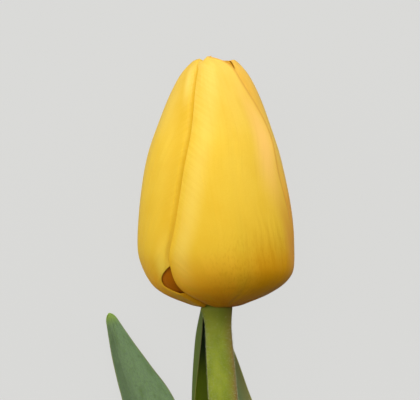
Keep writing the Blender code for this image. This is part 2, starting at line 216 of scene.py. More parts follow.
# A leaf starts as a sheath round the stem. Past that its middle line follows points. Given at even shares of
# its length are half its width, the degrees through which its halves bend up, and the angle that its upper
# side faces. wave is how far its edges rise and fall, and seed chooses its ripples.
Leaf = namedtuple(
    "Leaf", "base_height base_angle points widths left_bends right_bends facings wave seed"
)
LEAVES = {
    "leaf_left": Leaf(
        base_height=-128.0,
        base_angle=-100.0,
        points=(
            (-2.2, -109.0, -15.9), (-6.2, -95.0, -17.1), (-10.4, -80.0, -18.1), (-13.4, -65.0, -18.8),
            (-14.8, -50.0, -19.04), (-15.3, -41.0, -19.04), (-16.1, -33.0, -19.0), (-17.8, -26.0, -18.8),
            (-21.0, -19.0, -18.4), (-24.15, -12.0, -17.95), (-28.0, -2.5, -17.0),
        ),
        widths=(7.4, 8.4, 10.2, 11.2, 10.8, 9.3, 5.35, 1.1),
        left_bends=(98, 80, 60, 50, 48, 46, 40, 30),
        right_bends=(98, 80, 62, 54, 46, 34, 26, 20),
        facings=(80, 62, 36, 20, 10, 0, -6, -8),
        wave=0.5,
        seed=11,
    ),
    "leaf_back": Leaf(
        base_height=-90.0,
        base_angle=172.0,
        points=(
            (6.0, -70.0, -17.6), (4.6, -58.0, -19.0), (3.0, -46.0, -19.1), (1.2, -35.0, -18.2),
            (-0.9, -23.5, -16.2), (-2.2, -12.6, -13.8), (-2.75, -5.5, -12.4), (-2.9, 1.0, -11.8),
        ),
        widths=(7.2, 8.6, 10.8, 11.8, 12.0, 9.9, 7.2, 1.2),
        left_bends=(98, 90, 88, 86, 84, 90, 108, 145),
        right_bends=(98, 70, 46, 36, 34, 32, 56, 50),
        facings=(-8, -8, -6, -4, 4, 12, 18, 16),
        wave=0.2,
        seed=8,
    ),
}
LEAF_GRID = (84, 300)  # columns and rows
LEAF_CROWDING = (0.3, 0.0)
LEAF_WAVES = 2.5  # how often its edges rise and fall
LEAF_THICKNESS = 0.8
LEAF_MARGIN = 0.25  # its thickness at its margin
LEAF_MARGIN_WIDTH = 3.0  # width over which it thins out
LEAF_RIBS = Ripples(height=0.045, across=13, along=2, start=(30, 5))
LEAF_DENTS = Ripples(height=0.16, across=2, along=9, start=(10, 0))
LEAF_GROOVE = (0.30, 0.07)  # how deep the groove along its middle is, and how wide
LEAF_TIP = 0.985  # share of its length where its rounded tip begins
LEAF_TIP_WIDTH = 0.02  # square of what is left of its width there
LEAF_THIN_TIP = (0.9, 0.5)  # share of its length from which it thins out, and by how much
FLAT_ENDS = (0.15, 0.05, 0.1)  # shares from its margins, tip and base over which its relief grows
SHEATH_HEIGHTS = (0.0, 5.0, 10.0)  # above its base, where a leaf's middle line still follows the stem
SHEATH_GAP = 0.5
SHEATH_THINNING = 0.6  # how much thinner a sheath is than its blade
SHEATH_SHARE = 0.06  # share of a leaf's length over which it leaves the stem
SHEATH_AIR = 0.08  # between its base and the stem
SHEATH_LIP = 4.0  # how much lower the middle of a sheath ends than its sides

# The pistil and the stamens inside the head, as (radius, height above the foot).
BODY_ENDS = (0.01, 0.99)  # shares of their length at which their first and last rings lie
PISTIL_PROFILE = (
    (0.0, 0.0), (1.3, 0.3), (2.0, 2.5), (2.6, 8.0), (2.4, 13.0), (1.9, 16.5), (2.9, 18.2), (3.2, 19.6),
    (2.0, 20.6), (0.0, 20.9),
)
PISTIL_GAP = 0.3
PISTIL_GRID = (96, 120)
OVARY_CORNERS = 0.14  # how far its three corners stand out, as a share of its radius
OVARY_RISE = 6.0  # height over which they come out
STIGMA_LOBES = 0.12  # how much further those of the stigma stand out
STIGMA_START = 17.0  # height at which it begins
STIGMA_RISE = 1.5  # and over which its lobes come out
STIGMA_DOWN = Ripples(height=0.06, across=9, along=3)
STIGMA_SEED = 3
STAMEN_PROFILE = (
    (0.0, 0.0), (0.5, 0.2), (0.65, 3.0), (0.4, 8.2), (0.6, 9.0), (1.35, 10.5), (1.35, 18.5), (0.7, 21.3),
    (0.0, 22.0),
)
STAMEN_GRID = (40, 120)
STAMEN_COUNT = 6
FIRST_STAMEN = 20.0
STAMEN_RING = 2.5
STAMEN_FOOT = 2.4
STAMEN_LEAN = 9.0
STAMEN_FLATNESS = 0.7
ANTHER_START = 9.0  # height at which it begins
ANTHER_RISE = 2.0  # and over which its groove and grains come out
ANTHER_GROOVE = 0.22  # how deep the groove between its halves is, as a share of its radius
GROOVE_SHARPNESS = 9
ANTHER_GRAINS = Ripples(height=0.05, across=6, along=2)
ANTHER_SEED = 5

# Where the lights stand, seen from the middle of the head, and their two sides, in metres.
LIGHTS = {
    "key": ((0.0, 0.95, 0.45), (0.7, 0.5)),
    "fill": ((0.1, 0.0, 1.2), (1.2, 1.2)),
    "left": ((-0.93, 0.25, 0.5), (0.6, 0.8)),
    "right": ((0.92, 0.6, 0.42), (0.6, 0.8)),
}
HEAD_MIDDLE = (0.0, 25.0, 0.0)
SKY_SIDE = (-0.42, 0.90, 0.10)  # the side from which the surroundings are brightest
FLOOR_REACH = 3.0  # from its middle to each side, in metres
FLOOR_HEIGHT = -0.0001  # in metres
CAMERA_HEIGHT = 1.0  # above the head's base, in metres
VIEW_WIDTH = 0.1092  # what the picture spans there, in metres
VIEW_CENTRE = (-1.3, 27.43)
SENSOR = 36.0  # width of the camera's sensor


def smoothstep(x):
    """0 up to 0, 1 from 1 on, and smoothly from one to the other between."""
    x = np.clip(x, 0.0, 1.0)
    return x * x * (3 - 2 * x)


def bump_at(x, middle, width):
    """1 at the middle, falling off smoothly on both sides of it."""
    return np.exp(-(((x - middle) / width) ** 2))


def rise_and_fall(x, rise, fall):
    """0 below rise, 1 between rise and fall and 0 above fall, with a smooth step over each."""
    up = smoothstep((x - rise[0]) / (rise[1] - rise[0]))
    down = smoothstep((x - fall[0]) / (fall[1] - fall[0]))
    return up * (1 - down)


def curve_through(xs, ys):
    """A smooth function through the points, sloping at each as the chord between its neighbours does."""
    xs = np.asarray(xs, float)
    ys = np.asarray(ys, float)
    slopes = np.empty_like(ys)
    slopes[1:-1] = (ys[2:] - ys[:-2]) / (xs[2:] - xs[:-2])
    slopes[0] = (ys[1] - ys[0]) / (xs[1] - xs[0])
    slopes[-1] = (ys[-1] - ys[-2]) / (xs[-1] - xs[-2])

    def at(x):
        x = np.clip(x, xs[0], xs[-1])
        i = np.clip(np.searchsorted(xs, x, side="right") - 1, 0, len(xs) - 2)
        step = xs[i + 1] - xs[i]
        t = (x - xs[i]) / step
        return (
            ys[i] * (2 * t**3 - 3 * t**2 + 1)
            + slopes[i] * step * (t**3 - 2 * t**2 + t)
            + ys[i + 1] * (3 * t**2 - 2 * t**3)
            + slopes[i + 1] * step * (t**3 - t**2)
        )

    return at


def path_through(points):
    """A smooth path through the points, as a function of the share 0 to 1 of its length."""
    points = np.asarray(points, float)
    along = np.concatenate([[0.0], np.cumsum(np.linalg.norm(np.diff(points, axis=0), axis=1))])
    parts = [curve_through(along / along[-1], points[:, k]) for k in range(points.shape[1])]
    return lambda share: np.stack([part(share) for part in parts], axis=-1)


def random_field(seed):
    """A smooth random field of two coordinates, from -1 to 1."""
    lattice = np.random.default_rng(seed).uniform(-1.0, 1.0, (FIELD_CELLS, FIELD_CELLS))

    def at(x, y):
        column = np.floor(x).astype(int)
        row = np.floor(y).astype(int)
        right = smoothstep(x - column)
        up = smoothstep(y - row)

        def corner(i, j):
            return lattice[(column + i) % FIELD_CELLS, (row + j) % FIELD_CELLS]

        low = corner(0, 0) * (1 - right) + corner(1, 0) * right
        high = corner(0, 1) * (1 - right) + corner(1, 1) * right
        return low * (1 - up) + high * up

    return at


def rippled(field, ripples, across, along):
    """The height of ripples on a blade."""
    x, y = ripples.start
    return ripples.height * field(across * ripples.across + x, along * ripples.along + y)


def rippled_round(field, ripples, angle, along, radius=1.0, shift=0.0):
    """The height of ripples round a rod."""
    x, y = ripples.start
    place = np.sin(angle) * radius * ripples.across + x + shift
    return ripples.height * field(place, np.cos(angle) * radius * ripples.across + y + along * ripples.along)


def unit(vectors):
    """The vectors at length 1."""
    return vectors / np.maximum(np.linalg.norm(vectors, axis=-1, keepdims=True), 1e-9)


def grid_normals(points):
    """Normals of a grid of points, on the side that sees its rows run up and its columns to the right."""
    return unit(np.cross(np.gradient(points, axis=1), np.gradient(points, axis=0)))


def ahead(path, share, step=0.01):
    """How a path runs on at shares of its length."""
    return path(np.minimum(share + step, 1.0)) - path(np.maximum(share - step, 0.0))


def blade_grid(grid, crowding):
    """For each point of a blade its share of the length, from 0, and its place across, from -1 to 1."""
    places = []
    for count, crowd in zip(grid, crowding, strict=True):
        even = np.linspace(-1, 1, count)
        places.append(even + crowd * np.sin(math.pi * even) / math.pi)
    across, along = places
    return np.meshgrid((along + 1) / 2, across, indexing="ij")


def turned_body(profile, grid):
    """For each point of a turned body its angle, its share of the length, its radius and its height."""
    sides, count = grid
    angles = np.linspace(0, 2 * math.pi, sides, endpoint=False)
    angle, share = np.meshgrid(angles, np.linspace(*BODY_ENDS, count))
    body = path_through(profile)(share)
    return angle, share, body[..., 0], body[..., 1]


def row_frame(points):
    """Points of the plant's own frame, in the row frame and in metres."""
    return (np.asarray(points) + HEAD_BASE_AT) * MM


def mesh_object(name, points, faces, maps, spots=None):
    """An object with smooth faces. Each UV map is two grids of coordinates, and spots picks from them."""
    places = row_frame(points)
    places[:, 2] = np.maximum(places[:, 2], 0.0)
    mesh = bpy.data.meshes.new(name)
    mesh.from_pydata(places.tolist(), [], [list(face) for face in faces])
    corners = np.empty(len(mesh.loops), int)
    mesh.loops.foreach_get("vertex_index", corners)
    for map_name, grids in maps.items():
        flat = np.stack(grids, axis=-1).reshape(-1, 2).astype(np.float32)
        layer = mesh.uv_layers.new(name=map_name)
        layer.data.foreach_set("uv", flat[spots[corners]].ravel())
    mesh.shade_smooth()
    mesh.update()
    return bpy.data.objects.new(name, mesh)


def quads(index):
    """Faces between neighbouring rows and columns of a grid of vertex numbers."""
    corners = (index[:-1, :-1], index[:-1, 1:], index[1:, 1:], index[1:, :-1])
    return np.stack(corners, axis=-1).reshape(-1, 4)


def skin(name, front, thickness, maps):
    """A closed blade between a grid of points and the same grid set back by its thickness, with a round rim.

    Its front and rim have the first material, and its back has the second.
    """
    rows, columns = front.shape[:2]
    back = front - grid_normals(front) * thickness[..., None]
    index = np.arange(rows * columns).reshape(rows, columns)
    rim = np.concatenate([index[0, :-1], index[:-1, -1], index[-1, :0:-1], index[:0:-1, 0]])
    inside = np.concatenate([index[1, :-1], index[:-1, -2], index[-2, :0:-1], index[:0:-1, 1]])
    flat_front = front.reshape(-1, 3)
    flat_back = back.reshape(-1, 3)
    outward = unit(flat_front[rim] - flat_front[inside]) * thickness.reshape(-1, 1)[rim] * RIM_REACH
    middle = (flat_front[rim] + flat_back[rim]) / 2 + outward
    count = rows * columns
    ring = 2 * count + np.arange(len(rim))
    after = np.roll(rim, -1)
    ring_after = np.roll(ring, -1)
    front_faces = quads(index)
    faces = np.concatenate([
        front_faces,
        front_faces[:, ::-1] + count,
        np.stack([after, rim, ring, ring_after], axis=-1),
        np.stack([ring_after, ring, rim + count, after + count], axis=-1),
    ])
    points = np.concatenate([flat_front, flat_back, middle])
    spots = np.concatenate([index.ravel(), index.ravel(), rim])
    piece = mesh_object(name, points, faces, maps, spots)
    finishes = np.zeros(len(faces), int)
    finishes[len(front_faces) : 2 * len(front_faces)] = 1
    piece.data.polygons.foreach_set("material_index", finishes)
    return piece


def tube(name, rings, maps):
    """A closed body through rings of points, with a middle point at each end. Its maps run once round it."""
    count, sides = rings.shape[:2]
    index = np.arange(count * sides).reshape(count, sides)
    wrapped = np.concatenate([index, index[:, :1]], axis=1)
    side_faces = quads(wrapped)
    first, last = count * sides, count * sides + 1
    caps = [(first, wrapped[0, k + 1], wrapped[0, k]) for k in range(sides)]
    caps += [(last, wrapped[-1, k], wrapped[-1, k + 1]) for k in range(sides)]
    points = np.concatenate([rings.reshape(-1, 3), rings[[0, -1]].mean(axis=1)])
    spots = np.append(index, [0, index[-1, -1]])
    piece = mesh_object(name, points, [*side_faces.tolist(), *caps], maps, spots)
    for layer in piece.data.uv_layers:
        places = np.empty(len(layer.data) * 2, np.float32)
        layer.data.foreach_get("uv", places)
        on_sides = places[: side_faces.size * 2].reshape(count - 1, sides, 4, 2)
        on_sides[:, -1, 1:3, 0] += 1.0  # the last face of a ring ends a whole turn further on
        layer.data.foreach_set("uv", places)
    return piece


def add_piece(piece, finishes, node=None):
    """Links a piece that is in place, gives it its finishes, parents it to the root and hides the imported
    part that it stands for.
    """
    bpy.context.scene.collection.objects.link(piece)
    for finish in finishes:
        piece.data.materials.append(finish)
    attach(piece, "root")
    if node:
        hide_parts(node)


head_profile = path_through(HEAD_PROFILE)


def head_middle(height):
    """How far the head's middle line lies right of the plant's axis."""
    return sum(size * bump_at(height, middle, width) for size, middle, width in HEAD_LEANS)


def head_swell(angle, height):
    """How much further out the head's round reaches on its right side."""
    on_right = np.maximum(np.sin(np.radians(angle)), 0.0) ** SWELL_SHARPNESS
    return RIGHT_SWELL * on_right * bump_at(height, *SWELL_UP)


def edge_angle(petal, side, height):
    """The angle of a petal's left (side 0) or right (side 1) edge at a height."""
    angle = curve_through(STATIONS, (petal.left, petal.right)[side])(height)
    drawn_back = petal.recess[side] * rise_and_fall(height, RECESS_RISE, RECESS_FALL)
    return angle + drawn_back if side == 0 else angle - drawn_back


def curl(distance, depth):
    """How far a petal rolls in at a distance from its margin, which rolls in by depth."""
    fixed, growing = CURL_WIDTHS
    return depth * (1 - smoothstep(distance / (fixed + growing * depth)))


def petal_thickness(distance, along, full):
    """A petal's thickness at a distance from its margin and a share of its length."""
    middle = BASE_THICKNESS + (full - BASE_THICKNESS) * smoothstep(along / BASE_SHARE)
    return MARGIN_THICKNESS + (middle - MARGIN_THICKNESS) * smoothstep(distance / MARGIN_WIDTH)


# What is known of each point of a petal: its share of the length, its place across, its angle, radius and
# height on the head's outer side, the way in from there, and its distance from the petal's margin.
Spots = namedtuple("Spots", "along across angle radius height inward to_margin")


def petal_spots(name):
    """A petal's points on the head's outer side, before they get their depth."""
    petal = PETALS[name]
    is_inner = name.startswith("petal_inner")
    fold_start = FOLD_START if is_inner else 1.0
    tip_width = INNER_TIP_WIDTH if is_inner else OUTER_TIP_WIDTH
    along, across = blade_grid(petal.grid, PETAL_CROWDING)
    share = np.minimum(along / fold_start, 1.0) * petal.reach
    if name == "petal_outer_front":
        on_left = smoothstep((SHOULDER_END - across) / SHOULDER_STEP)
        share = share - SHOULDER_DROP * on_left * smoothstep((along - SHOULDER_START) / (1 - SHOULDER_START))
    profile = head_profile(share)
    radius, height = profile[..., 0], profile[..., 1]
    onward = ahead(head_profile, share)
    inward = unit(np.stack([-onward[..., 1], onward[..., 0]], axis=-1))
    left = edge_angle(petal, 0, height)
    right = edge_angle(petal, 1, height)
    angle = left + (right - left) * (across + 1) / 2

    beyond = np.clip((along / fold_start - TIP_START) / (1 - TIP_START), 0.0, 1.0)
    fold = np.clip((along - fold_start) / (1 - FOLD_START), 0.0, 1.0)
    narrowing = np.maximum(np.sqrt(1 - beyond**2), tip_width)
    narrowing = narrowing + (FOLD_WIDTH - tip_width) * np.minimum(fold / FOLD_SPREADS, 1.0)
    angle = np.where(beyond > 0, petal.tip + (angle - petal.tip) * narrowing, angle)
    radius = radius * (1 - (1 - FOLD_RADIUS) * fold)
    height = height - FOLD_DROP * fold
    half_width = np.radians(right - left) / 2 * radius * narrowing
    to_margin = np.minimum((1 - np.abs(across)) * half_width, (1 - along) * PETAL_LENGTH)
    return Spots(along, across, angle, radius, height, inward, to_margin)


def inside_cover(cover, side, spots):
    """How far spots lie inside the margin of what covers their petal's left (side 0) or right (side 1)."""
    over = PETALS[cover]
    # The left petal's angles are given a whole turn lower than those of the back petal that it covers.
    turn = 360.0 if side == 1 and cover == "petal_outer_left" else 0.0
    edge = edge_angle(over, 1 - side, spots.height) + turn
    return np.radians(edge - spots.angle if side == 0 else spots.angle - edge) * spots.radius


def covered_depth(depth, inside, rolled, full, height):
    """A petal's depth, pushed in as far as it has to be under a covering margin that has rolled in."""
    under = curl(inside, rolled) + petal_thickness(inside, 1.0, full) + COVER_GAP
    under = np.maximum(under, COVERED_DEPTH * smoothstep(inside / COVERED_WIDTH))
    relax = COVER_RELAX[0] + COVER_RELAX[1] * smoothstep(height / RELAX_HEIGHT)
    share = smoothstep(1 + inside / relax)
    return np.maximum(depth, depth + (under - depth) * share)


def petal_depth(name, look, spots):
    """How deep a petal's spots lie under the head's outer side, and how far inside a covering margin."""
    petal = PETALS[name]
    near_base = 1 - smoothstep(spots.height / SINK_HEIGHT)
    depth = petal.sink + (BASE_SINK - petal.sink) * near_base * (petal.sink > 0)
    kept_curl = 1 - CURL_LOSS * smoothstep(spots.height / CURL_HEIGHT)
    depth = depth + curl(spots.to_margin, np.where(spots.across < 0, *petal.curls) * kept_curl)
    covered = np.full(depth.shape, -FAR)
    for side, cover in enumerate(petal.cover):
        if cover:
            inside = inside_cover(cover, side, spots)
            rolled = PETALS[cover].curls[1 - side] * kept_curl
            depth = covered_depth(depth, inside, rolled, look.thickness, spots.height)
            covered = np.maximum(covered, inside)
    if name == "petal_inner_front":
        for bulge in BULGES:
            around = rise_and_fall(spots.angle, bulge.turn_rise, bulge.turn_fall)
            depth = depth - bulge.size * around * rise_and_fall(spots.height, bulge.rise, bulge.fall)
    if name == "petal_outer_front":
        depth = depth - FLARE * bump_at(spots.across, *FLARE_ACROSS) * bump_at(spots.height, *FLARE_UP)
    return depth, covered


def petal_relief(name, look, spots, veins):
    """How far a petal's waves, ribs and midrib go in."""
    seed = PETALS[name].seed
    rib_start, rib_end = RIB_END
    ribs = rippled(random_field(seed + RIB_SEED), PETAL_RIBS, veins, spots.along)
    ribs = ribs * (1 - smoothstep((spots.along - rib_start) / (rib_end - rib_start)))
    waves = rippled(random_field(seed), PETAL_WAVES, veins, spots.along)
    depth, width = MIDRIB
    midrib = depth * bump_at(spots.across, 0.0, width) * (1 - spots.along)
    away = smoothstep(spots.to_margin / RELIEF_MARGIN) * smoothstep(spots.along / RELIEF_START)
    return (look.relief * (waves + ribs) + midrib) * away


def petal_sides(name, look):
    """A petal's outer side as a grid of points, its thickness, and where each point lies on it."""
    spots = petal_spots(name)
    across, along = spots.across, spots.along
    room, more_room = VEIN_FAN
    veins = across * (1 - VEIN_BEND * across**2) / (room + more_room * along)
    depth, covered = petal_depth(name, look, spots)
    depth = depth + petal_relief(name, look, spots, veins)

    radius = spots.radius + head_swell(spots.angle, spots.height) + spots.inward[..., 0] * depth
    height = spots.height + spots.inward[..., 1] * depth
    turned = np.radians(spots.angle)
    points = np.stack([
        head_middle(height) + radius * np.sin(turned),
        height,
        np.maximum(radius * np.cos(turned), -HEAD_BASE_AT[2]),
    ], axis=-1)
    maps = {
        "petal": ((across + 1) / 2, along),
        "veins": (veins, along),
        "margins": (spots.to_margin / FAR, 0.5 + np.clip(covered, -FAR, FAR) / (2 * FAR)),
    }
    return points, petal_thickness(spots.to_margin, along, look.thickness), maps


stem_line = path_through([(*point, radius) for point, radius in STEM_PATH])


def stem_frames(shares):
    """The stem's middles, radii and directions up, right and towards the top side, at shares of it."""
    ends = stem_line(shares)
    upward = -unit(ahead(stem_line, shares, 0.002)[:, :3])
    right = unit(np.cross(upward, np.array([0.0, 0.0, 1.0])))
    return ends[:, :3], ends[:, 3], upward, right, np.cross(right, upward)


def stem_rings():
    """Rings of points from the middle of the stem's cut end to the top of its dome, and their maps."""
    sides, count = STEM_GRID
    face, rim = CUT_RINGS
    inner = np.linspace(CUT_MIDDLE, 1 - CUT_RIM, face)
    turn = np.linspace(0, math.pi / 2, rim + 1)[1:]
    dome = np.linspace(DOME_SHARE, 0.0, DOME_RINGS + 1)[1:]
    shares = np.concatenate([np.ones(face + rim), np.linspace(SIDE_START, DOME_SHARE, count), dome])
    middles, radii, upward, right, top = stem_frames(shares)

    part = np.ones(len(shares))
    part[:face] = inner
    part[face : face + rim] = 1 - CUT_RIM + CUT_RIM * np.sin(turn)
    rise = np.zeros(len(shares))
    rise[:face] = CUT_HOLLOW * (1 - (inner / inner[-1]) ** 2)
    rise[face : face + rim] = CUT_RIM * radii[0] * (1 - np.cos(turn))

    around, part = np.meshgrid(np.linspace(-math.pi, math.pi, sides, endpoint=False), part)
    along = np.broadcast_to(1 - shares[:, None], around.shape)
    field = random_field(STEM_SEED)
    lumps = rippled_round(field, STEM_LUMPS, around, along) + rippled_round(field, STEM_RIBS, around, along)
    fibres = rippled_round(field, CUT_FIBRES, around, along, radius=part)
    on_face = np.arange(len(shares))[:, None] < face
    radius = radii[:, None] * part * (1 + np.where(on_face, 0.0, lumps))
    rise = rise[:, None] + np.where(on_face, fibres, 0.0)
    rings = (
        middles[:, None]
        + right[:, None] * (radius * np.sin(around))[..., None]
        + top[:, None] * (radius * np.cos(around))[..., None]
        + upward[:, None] * rise[..., None]
    )
    return rings, {"stem": (around / (2 * math.pi), along)}


def stem_hairs(rings, count, length):
    """Points and faces of short hairs that stand on the stem's rings, each a thin spike."""
    draw = np.random.default_rng(HAIR_SEED)
    rows = draw.uniform(sum(CUT_RINGS), len(rings) - DOME_RINGS - 2, count)
    columns = draw.integers(0, rings.shape[1], count)
    low = rows.astype(int)
    share = (rows - low)[:, None]
    wrapped = np.concatenate([rings, rings[:, :1]], axis=1)
    aside = draw.uniform(0.0, 1.0, (count, 1))
    foot = (wrapped[low, columns] * (1 - aside) + wrapped[low, columns + 1] * aside) * (1 - share)
    foot += (wrapped[low + 1, columns] * (1 - aside) + wrapped[low + 1, columns + 1] * aside) * share
    outward = unit(grid_normals(wrapped)[low, columns] + draw.normal(0.0, HAIR_SPREAD, (count, 3)))
    kept = foot[:, 1] < HAIR_TOP - HAIR_FADE * draw.uniform(0.0, 1.0, count)
    kept &= foot[:, 2] + outward[:, 2] * length > HAIR_CLEARANCE - HEAD_BASE_AT[2]
    foot = foot[kept]
    outward = outward[kept]
    reach = length * draw.uniform(HAIR_SHORTEST, 1.0, (len(foot), 1))
    across = unit(np.cross(outward, draw.normal(0.0, 1.0, outward.shape)))
    other = np.cross(outward, across)
    points = [foot + outward * reach]
    end = np.arange(len(foot)) * (HAIR_SIDES + 1)
    faces = [np.stack([end + 3, end + 2, end + 1], axis=-1)]
    for side in range(HAIR_SIDES):
        turned = 2 * math.pi * side / HAIR_SIDES
        spoke = across * math.cos(turned) + other * math.sin(turned)
        points.append(foot + spoke * HAIR_THICKNESS / 2 - outward * HAIR_ROOT)
        faces.append(np.stack([end, end + 1 + side, end + 1 + (side + 1) % HAIR_SIDES], axis=-1))
    return np.stack(points, axis=1).reshape(-1, 3), np.concatenate(faces)


def stem_share(height):
    """The share of the stem's length, from its top, at which it is at a height (negative below the head)."""
    shares = np.linspace(0.0, 1.0, STEM_SAMPLES)
    return np.interp(-height, -stem_line(shares)[:, 1], shares)


def pistil_rings():
    """Rings of points of the pistil: a three-sided ovary under a three-lobed, downy stigma."""
    angle, share, radius, rise = turned_body(PISTIL_PROFILE, PISTIL_GRID)
    above = rise - STIGMA_START
    lobes = OVARY_CORNERS * smoothstep(rise / OVARY_RISE) + STIGMA_LOBES * smoothstep(above / STIGMA_RISE)
    down = rippled_round(random_field(STIGMA_SEED), STIGMA_DOWN, angle, rise) * smoothstep(above)
    radius = radius * (1 + lobes * np.cos(3 * angle) + down)
    (middle, dome_top, _), _ = STEM_PATH[0]
    points = (middle + radius * np.sin(angle), dome_top + PISTIL_GAP + rise, radius * np.cos(angle))
    return np.stack(points, axis=-1), {"body": (angle / (2 * math.pi), share)}


def stamen_rings(around):
    """Rings of points of a stamen: a slender filament that carries a long anther of two halves."""
    angle, share, radius, rise = turned_body(STAMEN_PROFILE, STAMEN_GRID)
    on_anther = smoothstep((rise - ANTHER_START) / ANTHER_RISE)
    groove = ANTHER_GROOVE * np.abs(np.cos(angle)) ** GROOVE_SHARPNESS * on_anther
    grains = rippled_round(random_field(ANTHER_SEED), ANTHER_GRAINS, angle, rise, shift=around) * on_anther
    radius = radius * (1 - groove + grains)
    lean = math.radians(STAMEN_LEAN)
    outward = np.array([math.sin(around), 0.0, math.cos(around)])
    sideways = np.array([math.cos(around), 0.0, -math.sin(around)])
    upward = np.array([0.0, math.cos(lean), 0.0]) + outward * math.sin(lean)
    across = outward * math.cos(lean) - np.array([0.0, math.sin(lean), 0.0])
    foot = np.array([STEM_PATH[0][0][0], STAMEN_FOOT, 0.0]) + outward * STAMEN_RING
    points = (
        foot
        + upward * rise[..., None]
        + sideways * (radius * np.sin(angle))[..., None]
        + across * (radius * STAMEN_FLATNESS * np.cos(angle))[..., None]
    )
    return points, {"body": (angle / (2 * math.pi), share)}


def along_leaf(values, share):
    """A smooth course through values at even shares of a leaf's length, as a column."""
    return curve_through(np.linspace(0.0, 1.0, len(values)), values)(share)[:, None]


def leaf_frames(leaf, share):
    """A leaf's middle points, and the directions to its right and towards its upper side, at shares of it."""
    facing = math.radians(leaf.base_angle)
    outward = np.array([math.sin(facing), 0.0, math.cos(facing)])
    starts = stem_line(stem_share(leaf.base_height + np.array(SHEATH_HEIGHTS)))[:, :3]
    starts = starts + outward * (STEM_PATH[-1][1] + SHEATH_GAP)
    middle = path_through([*starts, *leaf.points])
    forward = unit(ahead(middle, share))
    turned = np.radians(along_leaf(leaf.facings, share))
    up = np.concatenate([np.sin(turned), np.zeros_like(turned), np.cos(turned)], axis=1)
    up = unit(up - forward * np.sum(up * forward, axis=1, keepdims=True))
    return middle(share), np.cross(forward, up), up


def sheathed(points, across, hugging):
    """Points of a leaf, brought in to the stem as far as hugging says, with the sheath's lip drawn down."""
    on_stem = stem_line(stem_share(points[..., 1]))
    outwards = points - on_stem[..., :3]
    distance = np.linalg.norm(outwards, axis=-1)
    wanted = distance + (on_stem[..., 3] + SHEATH_AIR - distance) * hugging
    points = on_stem[..., :3] + outwards * (wanted / distance)[..., None]
    points[..., 1] -= SHEATH_LIP * (1 - across**2) * hugging
    return points


def leaf_sides(leaf, look):
    """A leaf's upper side as a grid of points, its thickness, and where each point lies on it."""
    along, across = blade_grid(LEAF_GRID, LEAF_CROWDING)
    share = along[:, 0]
    middle, right, up = leaf_frames(leaf, share)
    beyond = np.clip((along[:, :1] - LEAF_TIP) / (1 - LEAF_TIP), 0.0, None)
    width = along_leaf(leaf.widths, share) * np.sqrt(np.clip(1 - beyond**2, LEAF_TIP_WIDTH, 1))
    bends = np.where(across < 0, along_leaf(leaf.left_bends, share), along_leaf(leaf.right_bends, share))
    bend = np.radians(bends)
    reach = width * np.sin(bend * across) / bend
    rise = width * (1 - np.cos(bend * across)) / bend
    rise += leaf.wave * np.sin(2 * math.pi * LEAF_WAVES * along) * across**2 * smoothstep(3 * along)

    field = random_field(leaf.seed)
    dents = rippled(field, LEAF_RIBS, across, along) + rippled(field, LEAF_DENTS, across, along)
    depth, groove_width = LEAF_GROOVE
    groove = depth * bump_at(across, 0.0, groove_width) * (1 - along)
    sides, tip, base = FLAT_ENDS
    free = smoothstep((1 - np.abs(across)) / sides) * smoothstep((1 - along) / tip) * smoothstep(along / base)
    rise += (dents * look.relief - groove) * free
    hugging = 1 - smoothstep(along / SHEATH_SHARE)
    points = middle[:, None] + right[:, None] * reach[..., None] + up[:, None] * rise[..., None]
    points = sheathed(points, across, hugging)

    from_margin = smoothstep((1 - np.abs(across)) * width / LEAF_MARGIN_WIDTH)
    thickness = LEAF_MARGIN + (LEAF_THICKNESS - LEAF_MARGIN) * from_margin
    thin_start, thinning = LEAF_THIN_TIP
    near_tip = smoothstep((along - thin_start) / (1 - thin_start))
    thickness = thickness * (1 - SHEATH_THINNING * hugging) * (1 - thinning * near_tip)
    return points, thickness, {"leaf": ((across + 1) / 2, along)}


class Nodes:
    """A node tree, with a short way to add to it."""

    def __init__(self, tree):
        self.tree = tree

    def feed(self, socket, value):
        """Links a node's output to a socket, or sets the socket to a number or a colour."""
        if isinstance(value, bpy.types.NodeSocket):
            self.tree.links.new(value, socket)
        elif hasattr(value, "__len__") and len(value) == 3 and len(socket.default_value) == 4:
            socket.default_value = (*value, 1.0)
        else:
            socket.default_value = value

    def node(self, kind, inputs, **settings):
        made = self.tree.nodes.new(kind)
        for key, value in settings.items():
            setattr(made, key, value)
        for key, value in inputs.items():
            self.feed(made.inputs[key], value)
        return made


